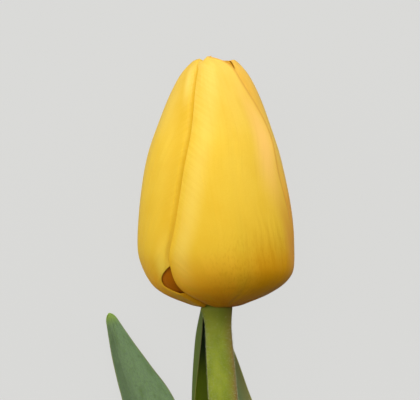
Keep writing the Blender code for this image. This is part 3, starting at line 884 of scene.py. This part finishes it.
class Finish(Nodes):
    """A material. Its colour is painted in layers, and finished() puts it on the shader."""

    def __init__(self, name, **values):
        self.material = bpy.data.materials.new(name)
        self.material.use_nodes = True
        super().__init__(self.material.node_tree)
        self.shader = self.tree.nodes["Principled BSDF"]
        for socket, value in values.items():
            self.feed(self.shader.inputs[socket.replace("_", " ")], value)
        self.colour = None

    def place(self, map_name, scale=(1.0, 1.0)):
        """Where a point lies on a UV map, times a scale."""
        uv = self.node("ShaderNodeUVMap", {}, uv_map=map_name).outputs["UV"]
        return self.node("ShaderNodeVectorMath", {0: uv, 1: (*scale, 1.0)}, operation="MULTIPLY").outputs[0]

    def parts(self, map_name):
        """A UV map's two coordinates."""
        return self.node("ShaderNodeSeparateXYZ", {0: self.place(map_name)}).outputs[:2]

    def noise(self, place, detail=2.0, scale=1.0):
        inputs = {"Vector": place, "Scale": scale, "Detail": detail}
        return self.node("ShaderNodeTexNoise", inputs).outputs["Fac"]

    def grain(self, map_name, scale, detail=2.0):
        """Noise with about so many grains across and along a UV map."""
        return self.noise(self.place(map_name, scale), detail)

    def maths(self, operation, first, second=0.0):
        return self.node("ShaderNodeMath", {0: first, 1: second}, operation=operation).outputs[0]

    def rise(self, value, low, high, top=1.0):
        """0 up to low, then smoothly up to top at high. It falls instead where high is under low."""
        inputs = {"Value": value, "From Min": min(low, high), "From Max": max(low, high)}
        inputs |= {"To Min": 0.0, "To Max": top} if low < high else {"To Min": top, "To Max": 0.0}
        return self.node("ShaderNodeMapRange", inputs, interpolation_type="SMOOTHSTEP").outputs[0]

    def away(self, value, middle):
        """How far a value is from the middle, on either side."""
        return self.maths("ABSOLUTE", self.maths("SUBTRACT", value, middle))

    def band(self, value, middle, width, top=1.0):
        """top at middle, and smoothly down to 0 at width on both sides of it."""
        return self.rise(self.away(value, middle), width, 0.0, top)

    def both(self, *factors):
        """The factors multiplied together."""
        product = factors[0]
        for factor in factors[1:]:
            product = self.maths("MULTIPLY", product, factor)
        return product

    def mix(self, factor, first, second):
        made = self.node("ShaderNodeMix", {0: factor, 6: first, 7: second}, data_type="RGBA")
        return made.outputs[2]

    def ramp(self, value, stops):
        made = self.node("ShaderNodeValToRGB", {0: value})
        elements = made.color_ramp.elements
        while len(elements) < len(stops):
            elements.new(1.0)
        for element, (at, colour) in zip(elements, stops, strict=True):
            element.position = at
            element.color = (*colour, 1.0)
        return made.outputs[0]

    def paint(self, colour, *factors):
        """Lays a colour over those before it, as far as the factors multiplied together say."""
        self.colour = self.mix(self.both(*factors), self.colour, colour)

    def finished(self, *reliefs, depth):
        """The material, with its colour and with a bump of so many millimetres from the reliefs together."""
        self.feed(self.shader.inputs["Base Color"], self.colour)
        height = reliefs[0]
        for relief in reliefs[1:]:
            height = self.maths("ADD", height, relief)
        bump = self.node("ShaderNodeBump", {"Height": height, "Distance": depth * MM, "Strength": 1.0})
        self.feed(self.shader.inputs["Normal"], bump.outputs[0])
        return self.material


def petal_shell(name):
    """A petal's material before its colour is set: satin, and a little translucent."""
    return Finish(
        name,
        Roughness=0.42,
        IOR=1.4,
        Specular_IOR_Level=0.09,
        Subsurface_Weight=0.12,
        Subsurface_Radius=(1.0, 0.9, 0.4),
        Subsurface_Scale=0.0004,
    )


def paint_feathers(finish, look, where):
    """Fine lines that slant in from a petal's margins."""
    along = finish.parts("petal")[1]
    margin = finish.parts("margins")[0]
    lines, slant = FEATHERS
    slanting = finish.maths("ADD", finish.both(along, lines), finish.both(margin, slant))
    place = finish.node("ShaderNodeCombineXYZ", {0: slanting, 1: margin}).outputs[0]
    feathers = finish.rise(finish.noise(place, detail=1.0), 0.42, 0.60)
    finish.paint(look.vein_and_crease_shade, feathers, finish.rise(margin, 0.9, 0.3, 0.25), where)


def paint_left_petal(finish, look):
    """Painted shade towards the crease beside the front petal, and painted highlights right beside it high up
    and low down.
    """
    along = finish.parts("petal")[1]
    cover = finish.parts("margins")[1]
    # Painted shade towards the crease, under the front petal's margin.
    finish.paint(look.vein_and_crease_shade, finish.band(cover, 0.36, 0.20, 0.5))
    # Painted highlight high up beside the crease.
    finish.paint(look.crest_highlight, finish.band(cover, 0.38, 0.10), finish.band(along, 0.90, 0.13, 0.65))
    # Painted highlight low down beside the crease.
    finish.paint(look.upper, finish.band(cover, 0.38, 0.20), finish.band(along, 0.27, 0.16))


def paint_front_petal(finish, look):
    """A painted highlight by its left margin, a peach tone with painted sheen at its right, streaks, dots and
    painted shade low down there, and painted shade along its right margin.
    """
    across, along = finish.parts("petal")
    margin = finish.parts("margins")[0]
    near_left = finish.rise(across, 0.6, 0.4)
    # Painted highlight: a pale satin crest along the left margin.
    finish.paint(look.crest_highlight, near_left, finish.band(margin, 0.40, 0.40), finish.rise(along, 0.12, 0.32, 0.34))
    # Peach tone with painted sheen on the right side, where light from the upper right falls.
    finish.paint(look.blush_and_sheen, finish.band(across, 0.88, 0.2), finish.band(along, 0.66, 0.28, 0.8))
    streaks = finish.rise(finish.grain("petal", (28.0, 6.0), 5.0), 0.44, 0.64)
    finish.paint(look.streak_and_shade, streaks, finish.band(across, 0.74, 0.46), finish.band(along, 0.25, 0.24, 0.5))
    dots = finish.rise(finish.grain("petal", (80.0, 50.0), 4.0), 0.48, 0.66, 0.4)
    finish.paint(look.streak_and_shade, dots, finish.rise(across, 0.12, 0.5), finish.band(along, 0.22, 0.20))
    # Painted shade over the whole lower right, in the streaks' colour.
    finish.paint(look.streak_and_shade, finish.rise(across, 0.44, 0.66), finish.band(along, 0.21, 0.18, 0.85))
    near_right = finish.rise(across, 0.6, 0.8)
    finish.paint(look.copper, near_right, finish.rise(margin, 0.7, 0.2), finish.band(along, 0.32, 0.24, 0.9))
    # Painted shade: a dark line along the right margin, where it lies over the next petal.
    finish.paint(look.copper, near_right, finish.rise(margin, 0.09, 0.02, 0.7))


def paint_right_petal(finish, look):
    """The inner petal beyond the front one: a peach tone with painted sheen, browner low down, and painted
    shadow beside the front petal.
    """
    along = finish.parts("petal")[1]
    cover = finish.parts("margins")[1]
    # Peach tone with painted sheen over the whole petal.
    finish.paint(look.blush_and_sheen, 0.3)
    finish.paint(look.low, finish.rise(along, 0.60, 0.42, 0.5))
    finish.paint(look.low, finish.rise(along, 0.66, 0.82, 0.22))
    finish.paint(look.copper, finish.rise(along, 0.50, 0.42, 0.5))
    # Painted shadow of the front petal's margin beside it.
    finish.paint(look.shade, finish.band(cover, 0.49, 0.03), finish.rise(along, 0.86, 0.76, 0.5))


def petal_finish(name, look):
    """The outer side: deeper towards the base, partly its own colour and partly painted shade, with painted
    shade in the creases and deep inside, and veins that fan out to the margins.
    """
    finish = petal_shell(f"{name}_finish")
    across, along = finish.parts("petal")
    # Darker and more orange towards the base, partly the petals' own colour and partly painted shade of the
    # head's underside; the paler tip is partly a painted highlight.
    finish.colour = finish.ramp(along, (
        (0.0, look.base),
        (0.15, look.low),
        (0.31, look.middle),
        (0.66, look.upper),
        (1.0, look.tip),
    ))
    veins = finish.grain("veins", (24.0, 2.0), 3.0)
    grain = finish.grain("petal", (120.0, 200.0))
    finish.paint(look.vein_and_crease_shade, finish.rise(finish.grain("petal", (5.0, 7.0), 3.0), 0.40, 0.75, 0.3))
    finish.paint(look.vein_and_crease_shade, finish.rise(veins, 0.45, 0.75, 0.16))
    is_front = name == "petal_outer_front"
    paint_feathers(finish, look, finish.rise(across, 0.6, 0.4) if is_front else 1.0)
    finish.paint(look.vein_and_crease_shade, finish.rise(grain, 0.42, 0.62, 0.16))
    finish.paint(look.green, finish.band(across, 0.5, 0.10), finish.rise(along, 0.5, 0.15, 0.15))
    if name == "petal_outer_left":
        paint_left_petal(finish, look)
    if is_front:
        paint_front_petal(finish, look)
    if name == "petal_inner_right":
        paint_right_petal(finish, look)
    else:
        cover = finish.parts("margins")[1]
        # Painted shade just beside the margin of the petal that covers this one.
        finish.paint(look.vein_and_crease_shade, finish.band(cover, 0.485, 0.045), finish.rise(along, 0.3, 0.5, 0.8))
    # Painted shade: the inner front petal darkens low down, where it shows between the outer petals, and the
    # inner petals' tips, folded in deep inside the head, are browner.
    if name == "petal_inner_front":
        finish.paint(look.shade, finish.rise(along, 0.5, 0.3))
        finish.paint(look.streak_and_shade, finish.rise(along, 0.79, 0.86, 0.8))
    elif name.startswith("petal_inner"):
        finish.paint(look.streak_and_shade, finish.rise(along, 0.92, 0.96, 0.8))
    return finish.finished(veins, finish.both(grain, 0.5), depth=0.05)


def petal_inside_finish(look):
    """The petals' inner side: a deeper yellow with veins along it."""
    finish = petal_shell("petal_inside_finish")
    along = finish.parts("petal")[1]
    finish.colour = finish.ramp(along, ((0.0, look.shade), (0.3, look.low), (1.0, look.middle)))
    veins = finish.grain("veins", (30.0, 2.0), 3.0)
    finish.paint(look.vein_and_crease_shade, finish.rise(veins, 0.45, 0.75, 0.3))
    return finish.finished(veins, depth=0.05)


def stem_finish(look):
    """Yellow-green with a fine grain, which browns on one side, with painted shadow under the head."""
    finish = Finish(
        "stem_finish",
        Roughness=0.6,
        IOR=1.35,
        Specular_IOR_Level=0.3,
        Subsurface_Weight=0.2,
        Subsurface_Radius=(0.7, 0.8, 0.2),
        Subsurface_Scale=0.001,
    )
    around, along = finish.parts("stem")
    grain = finish.grain("stem", (110.0, 900.0))
    lines = finish.grain("stem", (46.0, 24.0), 3.0)
    patches = finish.grain("stem", (5.0, 30.0), 3.0)
    finish.colour = finish.mix(finish.rise(patches, 0.35, 0.7), look.green, look.pale)
    finish.paint(look.dark, finish.rise(lines, 0.45, 0.75, 0.15))
    finish.paint(look.dark, finish.rise(grain, 0.40, 0.70, 0.35))
    finish.paint(look.brown, finish.band(around, 0.22, 0.2), finish.rise(patches, 0.1, 0.5))
    # Painted shadow under the head.
    finish.paint(look.dark, finish.rise(along, 0.91, 0.98, 0.74))
    return finish.finished(grain, lines, depth=0.06)


def cut_finish(look):
    """The wet flesh of the cut end: pale green, with a darker dot where each bundle of fibres was cut."""
    finish = Finish("cut_finish", Roughness=0.35, IOR=1.36, Subsurface_Weight=0.3, Subsurface_Scale=0.001)
    place = finish.node("ShaderNodeTexCoord", {}).outputs["Object"]
    dots = finish.node("ShaderNodeTexVoronoi", {"Vector": place, "Scale": 1400.0}).outputs["Distance"]
    cells = finish.noise(place, detail=3.0, scale=2600.0)
    finish.colour = finish.mix(finish.rise(cells, 0.2, 0.6), look.pale, look.flesh)
    finish.paint(look.dark, finish.rise(dots, 0.28, 0.12, 0.5))
    return finish.finished(cells, depth=0.08)


def hair_finish():
    """The stem's pale down."""
    return Finish("hair_finish", Base_Color=(0.66, 0.66, 0.36), Roughness=0.5, Sheen_Weight=0.3).material


def pistil_finish(look):
    """A smooth green ovary under a pale, downy stigma."""
    finish = Finish("pistil_finish", Roughness=0.45, IOR=1.4, Subsurface_Weight=0.2, Subsurface_Scale=0.001)
    mottled = finish.grain("body", (14.0, 24.0), 3.0)
    finish.colour = finish.mix(finish.rise(mottled, 0.3, 0.7, 0.4), look.ovary, look.stigma)
    finish.paint(look.stigma, finish.rise(finish.parts("body")[1], 0.72, 0.80))
    return finish.finished(mottled, depth=0.06)


def stamen_finish(look):
    """A pale filament that carries an anther dusty with pollen."""
    finish = Finish("stamen_finish", Roughness=0.75, IOR=1.4)
    pollen = finish.grain("body", (30.0, 120.0), 3.0)
    finish.colour = finish.mix(finish.rise(pollen, 0.35, 0.65, 0.7), look.anther, look.pollen)
    finish.paint(look.filament, finish.rise(finish.parts("body")[1], 0.42, 0.38))
    return finish.finished(pollen, depth=0.08)


def leaf_shell(name):
    """A leaf's material before its colour is set: soft, and a little translucent."""
    return Finish(
        name,
        Roughness=0.5,
        IOR=1.33,
        Specular_IOR_Level=0.35,
        Subsurface_Weight=0.15,
        Subsurface_Radius=(0.6, 0.8, 0.2),
        Subsurface_Scale=0.001,
    )


def leaf_finish(name, look):
    """The upper side: green under a waxy bloom, with a fine grain, rubbed spots and a yellow-green tip, and
    painted shade in the back leaf's hollow behind the stem.
    """
    finish = leaf_shell(f"{name}_finish")
    across, along = finish.parts("leaf")
    grain = finish.grain("leaf", (120.0, 700.0))
    if name == "leaf_left":
        wax = finish.rise(finish.grain("leaf", (6.0, 26.0), 4.0), 0.1, 0.55)
        finish.colour = finish.mix(wax, look.green, look.wax)
        finish.paint(look.green, finish.rise(finish.grain("leaf", (10.0, 60.0), 3.0), 0.58, 0.72, 0.5))
        finish.paint(look.shade, finish.rise(finish.grain("leaf", (34.0, 150.0), 5.0), 0.40, 0.65, 0.5))
        finish.paint(look.shade, finish.rise(across, 0.45, 0.1, 0.4))
        finish.paint(look.dark, finish.rise(grain, 0.40, 0.75, 0.25))
    else:
        finish.colour = finish.mix(finish.rise(across, 0.75, 1.0, 0.8), look.wax, look.margin)
        finish.paint(look.dark, finish.rise(grain, 0.40, 0.75, 0.25))
        # Painted shade: the back leaf's hollow, in the shadow of the stem and of its rolled margin, darkens
        # towards its tip.
        hollow = finish.mix(finish.rise(along, 0.76, 0.88), look.olive, look.hollow)
        finish.paint(hollow, finish.rise(across, 0.75, 0.55))
    finish.paint(look.margin, finish.rise(finish.away(across, 0.5), 0.485, 0.5, 0.4))
    near_ends = (finish.rise(along, 0.97, 1.0, 0.8), finish.rise(along, 0.10, 0.0, 0.7))
    finish.paint(look.tip, finish.maths("MAXIMUM", *near_ends))
    return finish.finished(finish.grain("leaf", (70.0, 3.0), 3.0), grain, depth=0.05)


def leaf_back_finish(name, look):
    """The lower side: a plainer green, ribbed along the leaf."""
    finish = leaf_shell(f"{name}_back_finish")
    ribs = finish.grain("leaf", (60.0, 3.0), 3.0)
    finish.colour = finish.mix(finish.rise(ribs, 0.35, 0.7, 0.5), look.under, look.olive)
    finish.paint(look.tip, finish.rise(finish.parts("leaf")[1], 0.10, 0.0, 0.7))
    finish.paint(look.dark, finish.rise(finish.grain("leaf", (120.0, 700.0)), 0.40, 0.75, 0.25))
    return finish.finished(ribs, depth=0.08)


def colour(name, description, default):
    return FloatVectorProperty(
        name=name, description=description, default=default, subtype="COLOR", min=0.0, max=1.0
    )


def millimetres(name, description, default, least, most):
    """A size in millimetres. Blender has no unit for them in a scene in metres."""
    return FloatProperty(
        name=name, description=f"{description}, in millimetres", default=default, min=least, max=most
    )


def relief_strength():
    return FloatProperty(
        name="Relief",
        description="How strongly its surface ripples",
        default=1.0,
        min=0.0,
        max=3.0,
        subtype="FACTOR",
    )


def watts(name, default):
    return FloatProperty(name=name, description="In watts", default=default, min=0.0, unit="POWER")


def brightness(name, description, default):
    return FloatProperty(name=name, description=description, default=default, min=0.0)


class TulipPetals(bpy.types.PropertyGroup):
    """Sizes and colours of the petals"""

    thickness: millimetres("Thickness", "Of a petal's middle", 0.55, 0.2, 0.75)
    relief: relief_strength()
    # The colours along the petals, which darken towards the base partly with painted shade; the tip's
    # paleness is partly a painted highlight.
    base: colour("Base", "At the petals' base", (0.50, 0.115, 0.0004))
    low: colour("Low", "On the underside of the head", (0.90, 0.37, 0.008))
    middle: colour("Middle", "At the head's widest place", (0.84, 0.53, 0.035))
    upper: colour("Upper", "On the upper part", (0.92, 0.61, 0.062))
    tip: colour("Tip", "At the petals' tips", (0.88, 0.59, 0.11))
    # The veins' own colour, also used as painted shade in the creases.
    vein_and_crease_shade: colour("Veins", "Of the veins, and in the creases", (0.80, 0.46, 0.015))
    green: colour("Green", "Of the midrib, low down", (0.42, 0.40, 0.02))
    # A painted highlight.
    crest_highlight: colour("Crest", "On both sides of the front petal's left margin", (0.98, 0.74, 0.17))
    # A peach tone with painted sheen.
    blush_and_sheen: colour("Blush", "Of the front petal's right side, and beyond it", (1.0, 0.58, 0.15))
    # The streaks' own colour, also used as painted shade low on the front petal's right and in the inner
    # petals' folded tips.
    streak_and_shade: colour("Streaks", "Low on the front petal, and where tips fold in", (0.64, 0.28, 0.002))
    # Also used as painted shade in a line along that margin.
    copper: colour("Copper", "Of the front petal's right margin, low down", (0.72, 0.33, 0.045))
    # Painted shade, on the inner front petal low down and beside the front petal's right margin; also the
    # petals' inner sides at their base.
    shade: colour("Shade", "Low on the inner petals", (0.45, 0.13, 0.002))


class TulipStem(bpy.types.PropertyGroup):
    """Sizes and colours of the stem"""

    hairs: IntProperty(name="Hairs", description="How many it has at most", default=40000, min=0, max=49000)
    hair_length: millimetres("Hair length", "Of the longest hairs", 0.45, 0.05, 1.0)
    green: colour("Green", "Of the stem", (0.28, 0.35, 0.025))
    pale: colour("Pale", "Of its lighter patches", (0.41, 0.47, 0.042))
    # Also the painted shadow under the head.
    dark: colour("Dark", "Of its lines, and under the head", (0.11, 0.12, 0.006))
    brown: colour("Brown", "Of its right side", (0.32, 0.20, 0.05))
    flesh: colour("Flesh", "Of the cut end", (0.80, 0.92, 0.36))


class TulipInside(bpy.types.PropertyGroup):
    """Colours of the pistil and the stamens"""

    ovary: colour("Ovary", "Of the pistil's ovary", (0.34, 0.46, 0.10))
    stigma: colour("Stigma", "Of the pistil's stigma", (0.62, 0.64, 0.28))
    filament: colour("Filaments", "Of the stamens' filaments", (0.62, 0.60, 0.20))
    anther: colour("Anthers", "Of the stamens' anthers", (0.42, 0.26, 0.03))
    pollen: colour("Pollen", "Of the dust on the anthers", (0.78, 0.56, 0.12))


class TulipLeaves(bpy.types.PropertyGroup):
    """Sizes and colours of the leaves"""

    relief: relief_strength()
    green: colour("Green", "Of the bare left leaf", (0.12, 0.20, 0.05))
    wax: colour("Wax", "Where the waxy bloom covers them", (0.23, 0.35, 0.155))
    shade: colour("Shade", "Of the left leaf's bluish side and spots", (0.17, 0.23, 0.145))
    # Olive and hollow are painted shade in the back leaf's hollow behind the stem; olive is also the lower
    # sides' own colour.
    olive: colour("Olive", "Of the hollow of the leaf behind the stem", (0.10, 0.14, 0.001))
    hollow: colour("Hollow", "The same, near its tip", (0.008, 0.02, 0.0005))
    under: colour("Under", "Of the lower sides", (0.10, 0.14, 0.025))
    dark: colour("Dark", "Of their grain", (0.06, 0.12, 0.035))
    margin: colour("Margin", "Of their margins", (0.34, 0.30, 0.10))
    tip: colour("Tip", "Of their tips and bases", (0.33, 0.50, 0.07))


class TulipStage(bpy.types.PropertyGroup):
    """Colours and lights of the stage"""

    floor: colour("Floor", "Of the pale floor", (0.70, 0.70, 0.685))
    glow: FloatProperty(
        name="Glow",
        description="Share of the floor's light that is its own",
        default=0.95,
        min=0.0,
        max=1.0,
        subtype="FACTOR",
    )
    key: watts("Key light", 3.9)
    fill: watts("Fill light", 4.5)
    left: watts("Left light", 4.3)
    right: watts("Right light", 4.9)
    world_low: brightness("World low", "Brightness beyond the stem", 0.0)
    world_high: brightness("World high", "Brightness beyond the tip", 0.63)


class TULIP_OT_petals(bpy.types.Operator):
    """Add the six petals"""

    bl_idname = "tulip.petals"
    bl_label = "Petals"

    def execute(self, context):
        look = context.scene.tulip_petals
        inside = petal_inside_finish(look)
        for node in PETALS:
            piece = skin(f"{node}_fine", *petal_sides(node, look))
            add_piece(piece, (petal_finish(node, look), inside), node)
        return {"FINISHED"}


class TULIP_OT_stem(bpy.types.Operator):
    """Add the stem, its cut end and its hairs"""

    bl_idname = "tulip.stem"
    bl_label = "Stem"

    def execute(self, context):
        look = context.scene.tulip_stem
        rings, maps = stem_rings()
        stem = tube("stem_fine", rings, maps)
        sides = STEM_GRID[0]
        cut_faces = (sum(CUT_RINGS) - UNCUT_RINGS) * sides
        cap = (len(rings) - 1) * sides  # the first face round the middle of the cut
        finishes = np.zeros(len(stem.data.polygons), int)
        finishes[:cut_faces] = 1
        finishes[cap : cap + sides] = 1
        stem.data.polygons.foreach_set("material_index", finishes)
        add_piece(stem, (stem_finish(look), cut_finish(look)), "stem")
        hairs = mesh_object("stem_hairs", *stem_hairs(rings, look.hairs, look.hair_length), {})
        add_piece(hairs, (hair_finish(),))
        return {"FINISHED"}


class TULIP_OT_inside(bpy.types.Operator):
    """Add the pistil and the stamens inside the head"""

    bl_idname = "tulip.inside"
    bl_label = "Pistil and stamens"

    def execute(self, context):
        look = context.scene.tulip_inside
        add_piece(tube("pistil_fine", *pistil_rings()), (pistil_finish(look),), "pistil")
        finish = stamen_finish(look)
        for number in range(STAMEN_COUNT):
            around = math.radians(FIRST_STAMEN + number * 360.0 / STAMEN_COUNT)
            node = f"stamen_{number + 1}"
            add_piece(tube(f"{node}_fine", *stamen_rings(around)), (finish,), node)
        return {"FINISHED"}


class TULIP_OT_leaves(bpy.types.Operator):
    """Add both leaves"""

    bl_idname = "tulip.leaves"
    bl_label = "Leaves"

    def execute(self, context):
        look = context.scene.tulip_leaves
        for node, leaf in LEAVES.items():
            piece = skin(f"{node}_fine", *leaf_sides(leaf, look))
            add_piece(piece, (leaf_finish(node, look), leaf_back_finish(node, look)), node)
        return {"FINISHED"}


def add_floor(look):
    """A plain pale floor that takes the tulip's shade but throws no light on it."""
    mesh = bpy.data.meshes.new("floor")
    corners = [(x * FLOOR_REACH, y * FLOOR_REACH, 0) for x, y in ((-1, -1), (1, -1), (1, 1), (-1, 1))]
    mesh.from_pydata(corners, [], [(0, 1, 2, 3)])
    floor = bpy.data.objects.new("floor", mesh)
    floor.location.z = FLOOR_HEIGHT
    floor.visible_diffuse = False
    floor.visible_glossy = False
    bpy.context.scene.collection.objects.link(floor)
    finish = Finish(
        "floor_finish",
        Base_Color=[part * (1 - look.glow) for part in look.floor],
        Roughness=0.9,
        Specular_IOR_Level=0.0,
        Emission_Color=tuple(look.floor),
        Emission_Strength=look.glow,
    )
    mesh.materials.append(finish.material)


def add_light(name, place, target, size, watts):
    """An oblong light that shines from a place towards a target, in metres."""
    light = bpy.data.lights.new(name, "AREA")
    light.shape = "RECTANGLE"
    light.size, light.size_y = size
    light.energy = watts
    lamp = bpy.data.objects.new(name, light)
    lamp.location = place
    lamp.rotation_euler = (Vector(target) - Vector(place)).to_track_quat("-Z", "Y").to_euler()
    lamp.visible_camera = False
    bpy.context.scene.collection.objects.link(lamp)


def add_surroundings(look):
    """White surroundings that are brightest on one side."""
    world = bpy.data.worlds.new("surroundings")
    world.use_nodes = True
    nodes = Nodes(world.node_tree)
    direction = nodes.node("ShaderNodeTexCoord", {}).outputs["Generated"]
    towards_sky = nodes.node("ShaderNodeVectorMath", {0: direction, 1: SKY_SIDE}, operation="DOT_PRODUCT")
    strength = nodes.node("ShaderNodeMapRange", {
        "Value": towards_sky.outputs["Value"],
        "From Min": -1.0,
        "To Min": look.world_low,
        "To Max": look.world_high,
    })
    background = world.node_tree.nodes["Background"]
    nodes.feed(background.inputs["Strength"], strength.outputs[0])
    nodes.feed(background.inputs["Color"], (1.0, 1.0, 1.0))
    bpy.context.scene.world = world


def add_camera():
    """A camera that looks straight down on the head and the top of the leaves."""
    lens = bpy.data.cameras.new("camera")
    lens.sensor_width = SENSOR
    lens.lens = SENSOR * CAMERA_HEIGHT / VIEW_WIDTH
    camera = bpy.data.objects.new("camera", lens)
    camera.location = row_frame((*VIEW_CENTRE, CAMERA_HEIGHT / MM))
    bpy.context.scene.collection.objects.link(camera)
    bpy.context.scene.camera = camera


class TULIP_OT_stage(bpy.types.Operator):
    """Add the floor, the lights, the surroundings and the camera"""

    bl_idname = "tulip.stage"
    bl_label = "Stage"

    def execute(self, context):
        look = context.scene.tulip_stage
        add_floor(look)
        head = row_frame(HEAD_MIDDLE)
        for name, (place, size) in LIGHTS.items():
            add_light(f"{name}_light", head + place, head, size, getattr(look, name))
        add_surroundings(look)
        add_camera()
        context.scene.view_settings.view_transform = "Standard"
        return {"FINISHED"}


class TULIP_PT_panel(bpy.types.Panel):
    """The tulip's sizes and colours, and the buttons that build it"""

    bl_label = "Cut tulip"
    bl_idname = "TULIP_PT_panel"
    bl_space_type = "VIEW_3D"
    bl_region_type = "UI"
    bl_category = "Tulip"

    def draw(self, context):
        for name, group, operator in PARTS:
            box = self.layout.box()
            settings = getattr(context.scene, name)
            for key in group.__annotations__:
                box.prop(settings, key)
            box.operator(operator.bl_idname)


# The scene's settings, their kind, and the operator that reads them.
PARTS = (
    ("tulip_petals", TulipPetals, TULIP_OT_petals),
    ("tulip_stem", TulipStem, TULIP_OT_stem),
    ("tulip_inside", TulipInside, TULIP_OT_inside),
    ("tulip_leaves", TulipLeaves, TULIP_OT_leaves),
    ("tulip_stage", TulipStage, TULIP_OT_stage),
)


def register():
    for name, group, operator in PARTS:
        bpy.utils.register_class(group)
        bpy.utils.register_class(operator)
        setattr(bpy.types.Scene, name, PointerProperty(type=group))
    bpy.utils.register_class(TULIP_PT_panel)


def unregister():
    bpy.utils.unregister_class(TULIP_PT_panel)
    for name, group, operator in reversed(PARTS):
        delattr(bpy.types.Scene, name)
        bpy.utils.unregister_class(operator)
        bpy.utils.unregister_class(group)


def main():
    register()
    bpy.ops.tulip.petals()
    bpy.ops.tulip.stem()
    bpy.ops.tulip.inside()
    bpy.ops.tulip.leaves()
    bpy.ops.tulip.stage()


if __name__ == "__main__":
    main()
